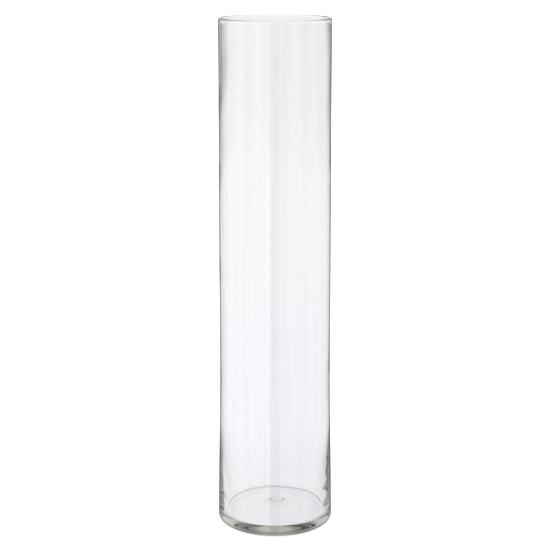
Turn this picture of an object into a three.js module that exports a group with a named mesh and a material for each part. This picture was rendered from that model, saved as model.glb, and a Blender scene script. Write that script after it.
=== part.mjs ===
// Glass cylinder vase: a tall blown cylinder, open at the top, with a thick flat base.
//
// The real vase is one continuous piece of clear soda-lime glass. It is modelled as the three zones
// that its maker forms one after another: the thick base, the drawn wall and the fire-polished lip.
// Each zone is a closed solid of its own, turned about the Z axis, and a hairline gap parts it from
// the next one.
//
// Millimetres, +Z up. The origin is the centre of the foot, on the surface that the vase stands on.

import * as THREE from 'three';

// Overall size: the trade's 4 inch by 18 inch cylinder.
const HEIGHT = 457.2;
const BODY_RADIUS = 49.75; // outside, along the straight part of the wall

// The outside draws in a little below the mouth and flares a little towards the foot.
const NECK_DRAW = 0.4;
const NECK_START = 250;
const NECK_END = 400;
const FOOT_FLARE = 2.1;
const FLARE_TOP = 150;

// The wall is thinnest along the middle, and thickens towards the lip and, more, towards the base.
const WALL = 2.1;
const LIP_WALL_EXTRA = 0.9;
const LIP_WALL_START = 340;
const LIP_WALL_END = 440;
const FOOT_WALL_EXTRA = 5.5;
const FOOT_WALL_TOP = 95;
const FOOT_WALL_CURVE = 1.7; // above 1, the thickening gathers low down

// Base: a thick floor, a rounded heel outside, a small fillet inside, and a shallow hollow underneath
// that leaves a flat foot ring to stand on.
const FLOOR = 9.2;
const HEEL_RADIUS = 5.5;
const FILLET_RADIUS = 3.0;
const FOOT_RING_INNER = 35;
const HOLLOW_DEPTH = 1.0;

// Lip: its two edges are rounded by the flame, with a narrow flat land left between them.
const LIP_HEIGHT = 5;
const LIP_ROUNDING = 1.15;

// Where the zones part, and how finely they are faceted.
const BASE_TOP = 18;
const GAP = 0.3;
const SEGMENTS = 72;
const ARC_DIVISIONS = 2; // a quarter circle gets twice as many chords
const WALL_STEP = 30;
const BASE_STEP = 5;

const GLASS_COLOUR = 0xe6edea;
const GLASS_ROUGHNESS = 0.03;
const GLASS_OPACITY = 0.35;

// 0 below t = 0, 1 above t = 1, and a smooth S between.
function ease(t) {
  return THREE.MathUtils.smoothstep(t, 0, 1);
}

function outerRadius(z) {
  const flare = FOOT_FLARE * ease(1 - z / FLARE_TOP);
  const draw = NECK_DRAW * ease((z - NECK_START) / (NECK_END - NECK_START));
  return BODY_RADIUS + flare - draw;
}

function innerRadius(z) {
  const lipExtra = LIP_WALL_EXTRA * ease((z - LIP_WALL_START) / (LIP_WALL_END - LIP_WALL_START));
  const footShare = Math.max(0, 1 - z / FOOT_WALL_TOP);
  const footExtra = FOOT_WALL_EXTRA * footShare ** FOOT_WALL_CURVE;
  return outerRadius(z) - WALL - lipExtra - footExtra;
}

// Evenly spaced heights from one end to the other, both included.
function heights(from, to, step) {
  const count = Math.ceil(Math.abs(to - from) / step);
  return Array.from({ length: count + 1 }, (_, i) => from + ((to - from) * i) / count);
}

// Runs the outline along the outside or the inside of the wall.
function follow(outline, radiusAt, from, to, step) {
  for (const z of heights(from, to, step)) outline.lineTo(radiusAt(z), z);
}

// The shallow hollow under the floor, deepest on the axis and level with the foot ring at its edge.
function hollowHeight(r) {
  return (HOLLOW_DEPTH * (1 + Math.cos((Math.PI * r) / FOOT_RING_INNER))) / 2;
}

function baseOutline() {
  const heelCentre = outerRadius(HEEL_RADIUS) - HEEL_RADIUS;
  const filletTop = FLOOR + FILLET_RADIUS;
  const filletCentre = innerRadius(filletTop) - FILLET_RADIUS;
  const outline = new THREE.Path();
  outline.moveTo(0, hollowHeight(0));
  for (const r of heights(0, FOOT_RING_INNER, FOOT_RING_INNER / 6).slice(1)) {
    outline.lineTo(r, hollowHeight(r));
  }
  outline.absarc(heelCentre, HEEL_RADIUS, HEEL_RADIUS, -Math.PI / 2, 0, false);
  follow(outline, outerRadius, HEEL_RADIUS + BASE_STEP, BASE_TOP, BASE_STEP);
  outline.lineTo(innerRadius(BASE_TOP), BASE_TOP);
  outline.absarc(filletCentre, filletTop, FILLET_RADIUS, 0, -Math.PI / 2, true);
  outline.lineTo(0, FLOOR);
  return outline;
}

function wallOutline() {
  const bottom = BASE_TOP + GAP;
  const top = HEIGHT - LIP_HEIGHT - GAP;
  const outline = new THREE.Path();
  outline.moveTo(innerRadius(bottom), bottom);
  follow(outline, outerRadius, bottom, top, WALL_STEP);
  follow(outline, innerRadius, top, bottom, WALL_STEP);
  return outline;
}

function lipOutline() {
  const bottom = HEIGHT - LIP_HEIGHT;
  const shoulder = HEIGHT - LIP_ROUNDING;
  const outerCentre = outerRadius(HEIGHT) - LIP_ROUNDING;
  const innerCentre = innerRadius(HEIGHT) + LIP_ROUNDING;
  const outline = new THREE.Path();
  outline.moveTo(innerRadius(bottom), bottom);
  outline.lineTo(outerRadius(bottom), bottom);
  outline.absarc(outerCentre, shoulder, LIP_ROUNDING, 0, Math.PI / 2, false);
  outline.absarc(innerCentre, shoulder, LIP_ROUNDING, Math.PI / 2, Math.PI, false);
  outline.lineTo(innerRadius(bottom), bottom);
  return outline;
}

// Turns an outline of (radius, height) points about the Z axis into one closed solid.
function turned(name, outline) {
  const points = outline.getPoints(ARC_DIVISIONS);
  const geometry = new THREE.LatheGeometry(points, SEGMENTS).rotateX(Math.PI / 2);
  const glass = new THREE.MeshStandardMaterial({
    color: GLASS_COLOUR,
    roughness: GLASS_ROUGHNESS,
    metalness: 0,
    transparent: true,
    opacity: GLASS_OPACITY,
  });
  const mesh = new THREE.Mesh(geometry, glass);
  mesh.name = name;
  return mesh;
}

const vase = new THREE.Group();
vase.name = 'glass_cylinder_vase';
vase.add(turned('base', baseOutline()));
vase.add(turned('wall', wallOutline()));
vase.add(turned('lip', lipOutline()));

export default vase;
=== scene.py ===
"""A tall clear glass cylinder vase, alone on a pale floor, in soft studio light. Metres, +Z up."""

import math

import bpy
import numpy as np
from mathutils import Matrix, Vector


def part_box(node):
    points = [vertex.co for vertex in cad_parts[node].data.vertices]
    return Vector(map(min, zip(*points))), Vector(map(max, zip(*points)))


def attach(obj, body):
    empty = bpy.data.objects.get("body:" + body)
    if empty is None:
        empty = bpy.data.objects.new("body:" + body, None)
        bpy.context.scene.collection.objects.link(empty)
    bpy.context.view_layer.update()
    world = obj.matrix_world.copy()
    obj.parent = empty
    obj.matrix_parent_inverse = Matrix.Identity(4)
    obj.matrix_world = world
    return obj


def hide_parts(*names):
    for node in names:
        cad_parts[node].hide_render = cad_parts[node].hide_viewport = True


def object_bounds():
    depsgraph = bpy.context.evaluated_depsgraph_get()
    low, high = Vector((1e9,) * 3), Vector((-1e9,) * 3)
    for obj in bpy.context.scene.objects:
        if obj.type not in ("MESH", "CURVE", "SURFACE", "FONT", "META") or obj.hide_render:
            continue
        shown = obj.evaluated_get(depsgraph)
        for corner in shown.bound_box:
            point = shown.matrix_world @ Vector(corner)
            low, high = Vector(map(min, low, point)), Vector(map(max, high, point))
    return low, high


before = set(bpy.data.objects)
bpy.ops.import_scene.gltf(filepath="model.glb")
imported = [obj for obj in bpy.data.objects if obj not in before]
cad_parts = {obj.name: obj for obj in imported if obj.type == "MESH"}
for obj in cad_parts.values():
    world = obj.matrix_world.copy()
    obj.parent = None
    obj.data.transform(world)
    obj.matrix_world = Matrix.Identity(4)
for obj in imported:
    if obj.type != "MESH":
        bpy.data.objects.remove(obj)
cad_low, cad_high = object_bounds()

MM = 0.001

# The CAD model's sizes, read off its nodes where a node shows them.
HEIGHT = cad_high.z
LIP_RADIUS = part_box("lip")[1].x
BASE_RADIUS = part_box("base")[1].x
NECK_DRAW = 0.4 * MM
BODY_RADIUS = LIP_RADIUS + NECK_DRAW
NECK_START, NECK_END = 250 * MM, 400 * MM
FOOT_FLARE, FLARE_TOP = 2.1 * MM, 150 * MM
WALL = 2.1 * MM
LIP_WALL_EXTRA = 0.9 * MM
LIP_WALL_START, LIP_WALL_END = 340 * MM, 440 * MM
FOOT_WALL_EXTRA, FOOT_WALL_TOP = 5.5 * MM, 95 * MM
FOOT_WALL_CURVE = 1.7
LIP_HEIGHT = 5 * MM
LIP_ROUNDING = 1.15 * MM
FLOOR = 9.2 * MM
FILLET_RADIUS = 3.0 * MM
FILLET_TOP = FLOOR + FILLET_RADIUS
HEEL_RADIUS = 5.5 * MM
FOOT_RING_INNER = 35 * MM
HOLLOW_DEPTH = 1.0 * MM

# How finely the glass is meshed: round the vase, and along each stretch of its section.
SEGMENTS = 256
RING_POINTS = 70
HOLLOW_POINTS = 12
FOOT_POINTS = 10
HEEL_STEPS = 14
WALL_POINTS = 110
LIP_STEPS = 8
FILLET_STEPS = 12
FLOOR_POINTS = 30

# Blown glass is never quite true. The bore lies off centre towards +X, most of all at the lip, so the wall
# is thicker on the left. Both faces are slightly wavy, and the inside most of all low down on the right.
BORE_SHIFT = 0.2 * MM
LIP_BORE_SHIFT = 0.2 * MM  # added to the other
OUTSIDE_WAVE = 0.05 * MM
INSIDE_WAVE = 0.10 * MM
FOOT_WAVE = 0.35 * MM
FOOT_WAVE_TOP = 75 * MM
FOOT_WAVE_RISE = 9.2 * MM  # the height over which the foot's waves grow, from the fillet up
FOOT_WAVE_ELSEWHERE = 0.12  # their share all round, beside what the right has
RIGHT_SPREAD = 0.25  # how far round from the right they reach, as the sine of half the angle
FLOOR_WAVE = 0.08 * MM

# A plain ring, moulded as a shallow groove under the floor.
RING_CENTRE = (1.5 * MM, 20 * MM)
RING_RADIUS = 6.0 * MM
RING_WIDTH = 1.6 * MM
RING_DEPTH = 0.6 * MM


def ease(t):
    """0 below t = 0, 1 above t = 1, and a smooth S between."""
    t = min(max(t, 0.0), 1.0)
    return t * t * (3 - 2 * t)


def lip_share(z):
    """How far up the thickening towards the lip a height is, from 0 to 1."""
    return ease((z - LIP_WALL_START) / (LIP_WALL_END - LIP_WALL_START))


def outer_radius(z):
    flare = FOOT_FLARE * ease(1 - z / FLARE_TOP)
    draw = NECK_DRAW * ease((z - NECK_START) / (NECK_END - NECK_START))
    return BODY_RADIUS + flare - draw


def inner_radius(z):
    foot_extra = FOOT_WALL_EXTRA * max(0.0, 1 - z / FOOT_WALL_TOP) ** FOOT_WALL_CURVE
    return outer_radius(z) - WALL - LIP_WALL_EXTRA * lip_share(z) - foot_extra


def hollow_height(r):
    """The height of the hollow under the floor, which is level with the foot ring at its edge."""
    return HOLLOW_DEPTH * (1 + math.cos(math.pi * min(r / FOOT_RING_INNER, 1))) / 2


def arc(centre, radius, start, end, steps):
    """Points along an arc, from angle start to angle end in degrees, both ends included."""
    angles = np.radians(np.linspace(start, end, steps + 1))
    return [(centre[0] + radius * math.cos(a), centre[1] + radius * math.sin(a)) for a in angles]


def outline():
    """The vase's section as (radius, height, face) points, from the axis under the floor, up the outside
    and down the inside to the axis on the floor. The face says which part of the glass a point is on."""
    heel = outer_radius(HEEL_RADIUS) - HEEL_RADIUS
    shoulder = HEIGHT - LIP_ROUNDING
    lip_outer = outer_radius(HEIGHT) - LIP_ROUNDING
    lip_inner = inner_radius(HEIGHT) + LIP_ROUNDING
    fillet = inner_radius(FILLET_TOP) - FILLET_RADIUS
    ring_end = math.hypot(*RING_CENTRE) + RING_RADIUS + RING_WIDTH

    under = [(r, hollow_height(r)) for r in np.linspace(0, ring_end, RING_POINTS)]
    under += [(r, hollow_height(r)) for r in np.linspace(ring_end, FOOT_RING_INNER, HOLLOW_POINTS)[1:]]
    under += [(r, 0.0) for r in np.linspace(FOOT_RING_INNER, heel, FOOT_POINTS)[1:-1]]

    outside = arc((heel, HEEL_RADIUS), HEEL_RADIUS, -90, 0, HEEL_STEPS)
    outside += [(outer_radius(z), z) for z in np.linspace(HEEL_RADIUS, shoulder, WALL_POINTS)[1:-1]]

    lip = arc((lip_outer, shoulder), LIP_ROUNDING, 0, 90, LIP_STEPS)
    lip += arc((lip_inner, shoulder), LIP_ROUNDING, 90, 180, LIP_STEPS)

    inside = [(inner_radius(z), z) for z in np.linspace(shoulder, FILLET_TOP, WALL_POINTS)[1:-1]]
    inside += arc((fillet, FILLET_TOP), FILLET_RADIUS, 0, -90, FILLET_STEPS)
    inside += [(r, FLOOR) for r in np.linspace(fillet, 0, FLOOR_POINTS)[1:]]

    faces = {"under": under, "outside": outside, "lip": lip, "inside": inside}
    return [(r, z, face) for face, points in faces.items() for r, z in points]


def make_wave(seed, turns, rises, count=9):
    """A smooth random wave over the glass, for an angle and a height, mostly between -1 and 1. It has up to
    turns swells round the vase and up to rises along its height."""
    random = np.random.default_rng(seed)
    around = random.integers(0, turns + 1, count)
    along = random.uniform(-rises, rises, count) * 2 * math.pi / HEIGHT
    phase = random.uniform(0, 2 * math.pi, count)
    return lambda angle, z: sum(np.cos(around * angle + along * z + phase)) / math.sqrt(count)


outside_wave = make_wave(seed=3, turns=5, rises=6)
inside_wave = make_wave(seed=8, turns=6, rises=9)
foot_wave = make_wave(seed=21, turns=14, rises=34)
floor_wave = make_wave(seed=5, turns=3, rises=0)


def ring_depth(x, y):
    """How deep the moulded ring's groove is at a place under the floor."""
    off = abs(math.hypot(x - RING_CENTRE[0], y - RING_CENTRE[1]) - RING_RADIUS) / (RING_WIDTH / 2)
    return RING_DEPTH * ease(1 - off)


def place(r, z, face, angle):
    """Where a point of the section goes when it is turned to this angle, with the glass's irregularities.
    The outside only ever dips inwards, so that the glass stays inside the CAD model's box."""
    shift = 0.0
    if face == "outside":
        r -= OUTSIDE_WAVE * (1 + math.tanh(outside_wave(angle, z)))
    if face in ("lip", "inside"):
        outer = outer_radius(z)
        depth = min(max((outer - r) / (outer - inner_radius(z)), 0.0), 1.0)
        shift = depth * (BORE_SHIFT * ease(z / FLARE_TOP) + LIP_BORE_SHIFT * lip_share(z))
        if z > FILLET_TOP:
            low = ease(1 - z / FOOT_WAVE_TOP) * ease((z - FILLET_TOP) / FOOT_WAVE_RISE)
            right = math.exp(-(math.sin(angle / 2) / RIGHT_SPREAD) ** 2)
            r += depth * INSIDE_WAVE * inside_wave(angle, z)
            r -= depth * FOOT_WAVE * low * (FOOT_WAVE_ELSEWHERE + right) * foot_wave(angle, z)
    x = r * math.cos(angle) + shift
    y = r * math.sin(angle)
    if face == "under":
        z += ring_depth(x, y)
    if face == "inside" and z < FILLET_TOP:
        z += FLOOR_WAVE * floor_wave(angle, 0) * ease(r / BODY_RADIUS)
    return x, y, z


def turned(name, section):
    """A closed mesh: the section turned about the Z axis, its two ends meeting the axis in one point each."""
    around = np.arange(SEGMENTS) * 2 * math.pi / SEGMENTS
    rings = len(section) - 2
    vertices = [(0, 0, section[0][1])]
    for r, z, face in section[1:-1]:
        vertices += [place(r, z, face, angle) for angle in around]
    last = len(vertices)
    vertices.append((0, 0, section[-1][1]))

    faces = []
    for i in range(SEGMENTS):
        j = (i + 1) % SEGMENTS
        faces.append((0, 1 + j, 1 + i))
        for ring in range(rings - 1):
            a = 1 + ring * SEGMENTS
            b = a + SEGMENTS
            faces.append((a + i, a + j, b + j, b + i))
        a = 1 + (rings - 1) * SEGMENTS
        faces.append((a + i, a + j, last))

    mesh = bpy.data.meshes.new(name)
    mesh.from_pydata(vertices, [], faces)
    mesh.validate()
    mesh.update()
    for polygon in mesh.polygons:
        polygon.use_smooth = True
    piece = bpy.data.objects.new(name, mesh)
    bpy.context.scene.collection.objects.link(piece)
    return piece


def grey(value):
    return (value, value, value, 1)


class Nodes:
    """Adds shader nodes to a node tree, each in one call."""

    def __init__(self, tree):
        self.tree = tree

    def add(self, kind, **inputs):
        node = self.tree.nodes.new(kind)
        for name, value in inputs.items():
            self.plug(node.inputs[name], value)
        return node

    def plug(self, socket, value):
        """Links a socket to another, or sets it to a plain value."""
        if isinstance(value, bpy.types.NodeSocket):
            self.tree.links.new(value, socket)
        else:
            socket.default_value = value

    def math(self, operation, *values):
        node = self.tree.nodes.new("ShaderNodeMath")
        node.operation = operation
        for socket, value in zip(node.inputs, values):
            self.plug(socket, value)
        return node.outputs[0]

    def ramp(self, value, *stops):
        """A smooth ramp through (position, colour) stops. A colour is (red, green, blue) or one grey."""
        node = self.tree.nodes.new("ShaderNodeValToRGB")
        node.color_ramp.interpolation = "EASE"
        elements = node.color_ramp.elements
        while len(elements) < len(stops):
            elements.new(0.5)
        for element, (position, colour) in zip(elements, stops):
            element.position = position
            element.color = (*colour, 1) if isinstance(colour, tuple) else grey(colour)
        self.plug(node.inputs[0], value)
        return node.outputs[0]

    def mix(self, factor, first, second, blend="MIX"):
        node = self.tree.nodes.new("ShaderNodeMix")
        node.data_type = "RGBA"
        node.blend_type = blend
        for name, value in (("Factor_Float", factor), ("A_Color", first), ("B_Color", second)):
            self.plug(next(s for s in node.inputs if s.identifier == name), value)
        return next(s for s in node.outputs if s.identifier == "Result_Color")

    def times(self, first, second):
        return self.mix(1.0, first, second, blend="MULTIPLY")


# Clear soda-lime glass. What it absorbs shows where light runs far through it, as a faint olive-grey.
GLASS_IOR = 1.52
ABSORPTION_COLOUR = (0.846, 0.846, 0.828, 1)
ABSORPTION_DENSITY = 50.0

# Very faint upright cords, as drawn glass has, and a film of handling that dulls it here and there.
CORD_STRETCH = (90, 90, 4)
CORD_DETAIL = 3.0
CORD_STOPS = ((0.35, (0.975, 0.98, 0.98)), (0.65, (1.0, 1.0, 1.0)))
FILM_SCALE = 22.0
FILM_DETAIL = 4.0
FILM_STOPS = ((0.55, 0.0), (0.8, 0.02))

# A painted dark edge: the outside's colour darkens where it is seen edge on, up to the lip. This painted
# reflection stands in for the dark surroundings that the edges of real glass show. A Facing of 0 is head on,
# and 1 is edge on.
PAINTED_EDGE_SHADE = 0.14
PAINTED_EDGE_STOPS = ((0.72, 0.0), (0.82, 1.0))
OUTSIDE_FACE = 48.9 * MM  # further out than this from the axis is the outside of the glass


def glass_material():
    material = bpy.data.materials.new("clear_glass")
    material.use_nodes = True
    tree = material.node_tree
    n = Nodes(tree)
    shader = tree.nodes["Principled BSDF"]
    shader.inputs["IOR"].default_value = GLASS_IOR
    shader.inputs["Transmission Weight"].default_value = 1.0

    point = n.add("ShaderNodeTexCoord").outputs["Object"]
    x, y, z = n.add("ShaderNodeSeparateXYZ", Vector=point).outputs
    from_axis = n.math("SQRT", n.math("ADD", n.math("MULTIPLY", x, x), n.math("MULTIPLY", y, y)))
    outside = n.math("GREATER_THAN", from_axis, OUTSIDE_FACE)
    below_lip = n.math("LESS_THAN", z, HEIGHT - LIP_HEIGHT)
    facing = n.add("ShaderNodeLayerWeight", Blend=0.5).outputs["Facing"]
    # The mask of the painted dark edge: the outside, below the lip, where it is seen edge on.
    edge = n.math("MULTIPLY", n.math("MULTIPLY", outside, below_lip), n.ramp(facing, *PAINTED_EDGE_STOPS))

    stretched = n.add("ShaderNodeMapping", Vector=point, Scale=CORD_STRETCH).outputs[0]
    cords = n.add("ShaderNodeTexNoise", Vector=stretched, Scale=1.0, Detail=CORD_DETAIL).outputs["Fac"]
    # The base colour turns to the painted edge shade along that mask, a painted reflection of dark
    # surroundings.
    n.plug(shader.inputs["Base Color"], n.mix(edge, n.ramp(cords, *CORD_STOPS), grey(PAINTED_EDGE_SHADE)))

    film = n.add("ShaderNodeTexNoise", Vector=point, Scale=FILM_SCALE, Detail=FILM_DETAIL).outputs["Fac"]
    n.plug(shader.inputs["Roughness"], n.ramp(film, *FILM_STOPS))

    absorption = n.add("ShaderNodeVolumeAbsorption", Color=ABSORPTION_COLOUR, Density=ABSORPTION_DENSITY)
    tree.links.new(absorption.outputs["Volume"], tree.nodes["Material Output"].inputs["Volume"])
    return material


# The camera stands a little above the mouth and three heights away, tilted down.
CAMERA_DISTANCE = 1.383
CAMERA_HEIGHT = 0.547
CAMERA_TILT = 12.93  # degrees
CAMERA_LENS = 103.9  # mm, on a sensor 36 mm wide
CAMERA_SENSOR = 36


def make_camera():
    data = bpy.data.cameras.new("camera")
    data.lens = CAMERA_LENS
    data.sensor_width = CAMERA_SENSOR
    camera = bpy.data.objects.new("camera", data)
    bpy.context.scene.collection.objects.link(camera)
    camera.location = (0, -CAMERA_DISTANCE, CAMERA_HEIGHT)
    camera.rotation_euler = (math.radians(90 - CAMERA_TILT), 0, 0)
    bpy.context.scene.camera = camera


# The floor is pale and glows a little, so that it comes out even. The glass doesn't see it. The glass sees a
# glowing round under its foot instead, which nothing else sees.
FLOOR_RADIUS = 12.0
FLOOR_DROP = 0.2 * MM
FLOOR_COLOUR = 0.8
FLOOR_ROUGHNESS = 0.9
FLOOR_GLOW = 0.65
TABLE_DROP = 0.1 * MM
TABLE_COLOUR = (0.96, 0.97, 1.03, 1)
TABLE_GLOW = 0.93


def disc(name, radius, z, colour, glow, glow_colour):
    """A flat disc that glows, with a plain matt material of its own. Returns the disc and its shader."""
    around = np.radians(np.arange(0, 360, 5))
    rim = [(radius * math.cos(a), radius * math.sin(a), z) for a in around]
    mesh = bpy.data.meshes.new(name)
    mesh.from_pydata(rim, [], [range(len(rim))])
    piece = bpy.data.objects.new(name, mesh)
    bpy.context.scene.collection.objects.link(piece)
    material = bpy.data.materials.new(name)
    material.use_nodes = True
    shader = material.node_tree.nodes["Principled BSDF"]
    shader.inputs["Base Color"].default_value = grey(colour)
    shader.inputs["Emission Color"].default_value = glow_colour
    shader.inputs["Emission Strength"].default_value = glow
    mesh.materials.append(material)
    return piece, shader


def make_floor():
    floor, shader = disc("floor", FLOOR_RADIUS, -FLOOR_DROP, FLOOR_COLOUR, FLOOR_GLOW, grey(1.0))
    shader.inputs["Roughness"].default_value = FLOOR_ROUGHNESS
    floor.visible_glossy = False
    floor.visible_transmission = False

    table, shader = disc("light_table", BASE_RADIUS, -TABLE_DROP, 0.0, TABLE_GLOW, TABLE_COLOUR)
    shader.inputs["Specular IOR Level"].default_value = 0
    table.visible_camera = False
    table.visible_diffuse = False
    table.visible_shadow = False


# The studio all round. The camera sees plain white, and plain white lights the floor, apart from its faint
# sheen. The glass sees lights of its own, set so that it shows the bands that the photograph shows, and they
# are not those of a real room. What it lets through depends on the direction and on how many surfaces of
# the glass the ray has met. Ray Depth counts one more than that: 3 for the far wall alone, seen through the
# mouth, 4 along the inside of one wall, 5 through both walls, and mostly more through the base.
THROUGH_MOUTH = 3
THROUGH_ONE_WALL = 4
THROUGH_BOTH_WALLS = 5
BACK_LIGHT = 0.95

# The downward slope of the view of the mouth and of the foot. Between them, slopes run from 0 to 1.
MOUTH_SLOPE, FOOT_SLOPE = 0.06, 0.37

# Eight lamps stand round the vase, one straight behind it, with dimmer gaps between them. The gaps are
# (slope, darkness) stops. They are deepest level with the mouth, and fade out below the foot.
LAMPS_IN_HALF_TURN = 4.0
GAP_STOPS = ((0.18, 0.0), (0.45, 1.0))  # 0 is the middle of a lamp, and 0.5 the middle of a gap
WALL_GAPS = ((0.0, 0.6), (0.15, 0.5), (0.4, 0.15), (0.75, 0.2), (1.0, 0.25))
EDGE_GAPS = ((0.0, 0.72), (0.15, 0.55), (0.45, 0.0), (0.75, 0.12), (1.0, 0.35))
FADE_STOPS = ((0.42, 1.0), (0.5, 0.0))

# Two more gaps, for light that has met more surfaces than those of both walls, which is mostly light from
# the base. They are (degrees right of straight behind, darkness) stops.
BASE_GAPS = ((-62, 0.0), (-50, 0.4), (-40, 0.4), (-28, 0.0), (8, 0.0), (24, 0.7), (46, 0.7), (60, 0.0))

# A dim band steeply below, which draws the far edge of the floor.
STEEP_STOPS = ((0.62, 0.0), (0.7, 0.3), (0.75, 0.3), (0.85, 0.0))

# The light is warmer level with the mouth and cooler towards the foot.
TONE_STOPS = ((0.2, (1.0, 1.0, 0.99)), (0.75, (0.975, 0.98, 1.02)))

# What the glass mirrors: two large lamps in front of it, left and right, with a narrow gap between them,
# and little light behind it.
# A compass of 0 and of 1 is the front, 0.25 the left, 0.5 straight behind and 0.75 the right.
FRONT_LIGHT = 2.3
SIDE_SHARE = 0.56  # the lamp on the right is dimmer than the one on the left
MIRRORED_STOPS = (
    (0.018, 0.0), (0.033, 1.0), (0.34, 0.85), (0.39, 0.3), (0.47, 0.1),
    (0.53, 0.1), (0.61, 0.3), (0.66, 0.6), (0.967, SIDE_SHARE), (0.982, 0.0),
)

# Above, it mirrors an even light, and steeply below, one as bright as the pale floor.
OVERHEAD_LIGHT = 1.15
OVERHEAD_STOPS = ((0.0, 0.0), (0.1, 1.0))
BELOW_LIGHT = 0.95
BELOW_STOPS = ((0.5, 0.0), (0.7, 1.0))


def light_through(n, turn, compass, down, crossed):
    """What is seen through the glass. Turn is in half turns from straight behind."""
    slope = n.math("DIVIDE", n.math("SUBTRACT", down, MOUTH_SLOPE), FOOT_SLOPE - MOUTH_SLOPE)
    from_lamp = n.math("PINGPONG", n.math("MULTIPLY", turn, LAMPS_IN_HALF_TURN), 0.5)
    wall = n.math("MULTIPLY", n.ramp(from_lamp, *GAP_STOPS), n.ramp(slope, *WALL_GAPS))
    edge = n.ramp(slope, *EDGE_GAPS)
    base = n.ramp(compass, *((0.5 + degrees / 360, darkness) for degrees, darkness in BASE_GAPS))
    steep = n.ramp(down, *STEEP_STOPS)

    one_wall = n.math("COMPARE", crossed, float(THROUGH_ONE_WALL), 0.5)
    in_base = n.math("GREATER_THAN", crossed, THROUGH_BOTH_WALLS + 0.5)
    past_mouth = n.math("GREATER_THAN", crossed, THROUGH_MOUTH + 0.5)
    gap = n.times(n.mix(one_wall, wall, edge), n.ramp(down, *FADE_STOPS))
    gap = n.math("MAXIMUM", gap, n.times(base, in_base))
    gap = n.math("MAXIMUM", gap, n.times(steep, past_mouth))
    light = n.math("MULTIPLY", n.math("SUBTRACT", 1.0, gap), BACK_LIGHT)
    return n.times(n.ramp(slope, *TONE_STOPS), light)


def light_mirrored(n, compass, up, down):
    """What the glass mirrors."""
    light = n.times(n.ramp(compass, *MIRRORED_STOPS), grey(FRONT_LIGHT))
    light = n.mix(n.ramp(up, *OVERHEAD_STOPS), light, grey(OVERHEAD_LIGHT))
    return n.mix(n.ramp(down, *BELOW_STOPS), light, grey(BELOW_LIGHT))


def make_world():
    world = bpy.data.worlds.new("studio")
    world.use_nodes = True
    tree = world.node_tree
    n = Nodes(tree)
    direction = n.add("ShaderNodeTexCoord").outputs["Generated"]
    path = n.add("ShaderNodeLightPath").outputs
    x, y, up = n.add("ShaderNodeSeparateXYZ", Vector=direction).outputs
    down = n.math("MULTIPLY", up, -1.0)
    turn = n.math("DIVIDE", n.math("ARCTAN2", x, y), math.pi)
    compass = n.math("MULTIPLY_ADD", turn, 0.5, 0.5)

    through = light_through(n, turn, compass, down, path["Ray Depth"])
    mirrored = light_mirrored(n, compass, up, down)
    glass_mirrors = n.math("SUBTRACT", path["Is Reflection Ray"], path["Is Diffuse Ray"])
    colour = n.mix(path["Is Transmission Ray"], grey(1.0), through)
    colour = n.mix(glass_mirrors, colour, mirrored)
    n.plug(tree.nodes["Background"].inputs["Color"], colour)
    bpy.context.scene.world = world
    world.cycles.sampling_method = "NONE"


BOUNCES = 24  # light meets many surfaces of the glass


def set_render():
    scene = bpy.context.scene
    scene.view_settings.view_transform = "Standard"
    scene.cycles.max_bounces = BOUNCES
    scene.cycles.transmission_bounces = BOUNCES
    scene.cycles.glossy_bounces = BOUNCES
    scene.cycles.transparent_max_bounces = BOUNCES


make_camera()
make_world()
make_floor()
set_render()

vase = turned("vase_glass", outline())
vase.data.materials.append(glass_material())
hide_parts("base", "wall", "lip")
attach(vase, "root")
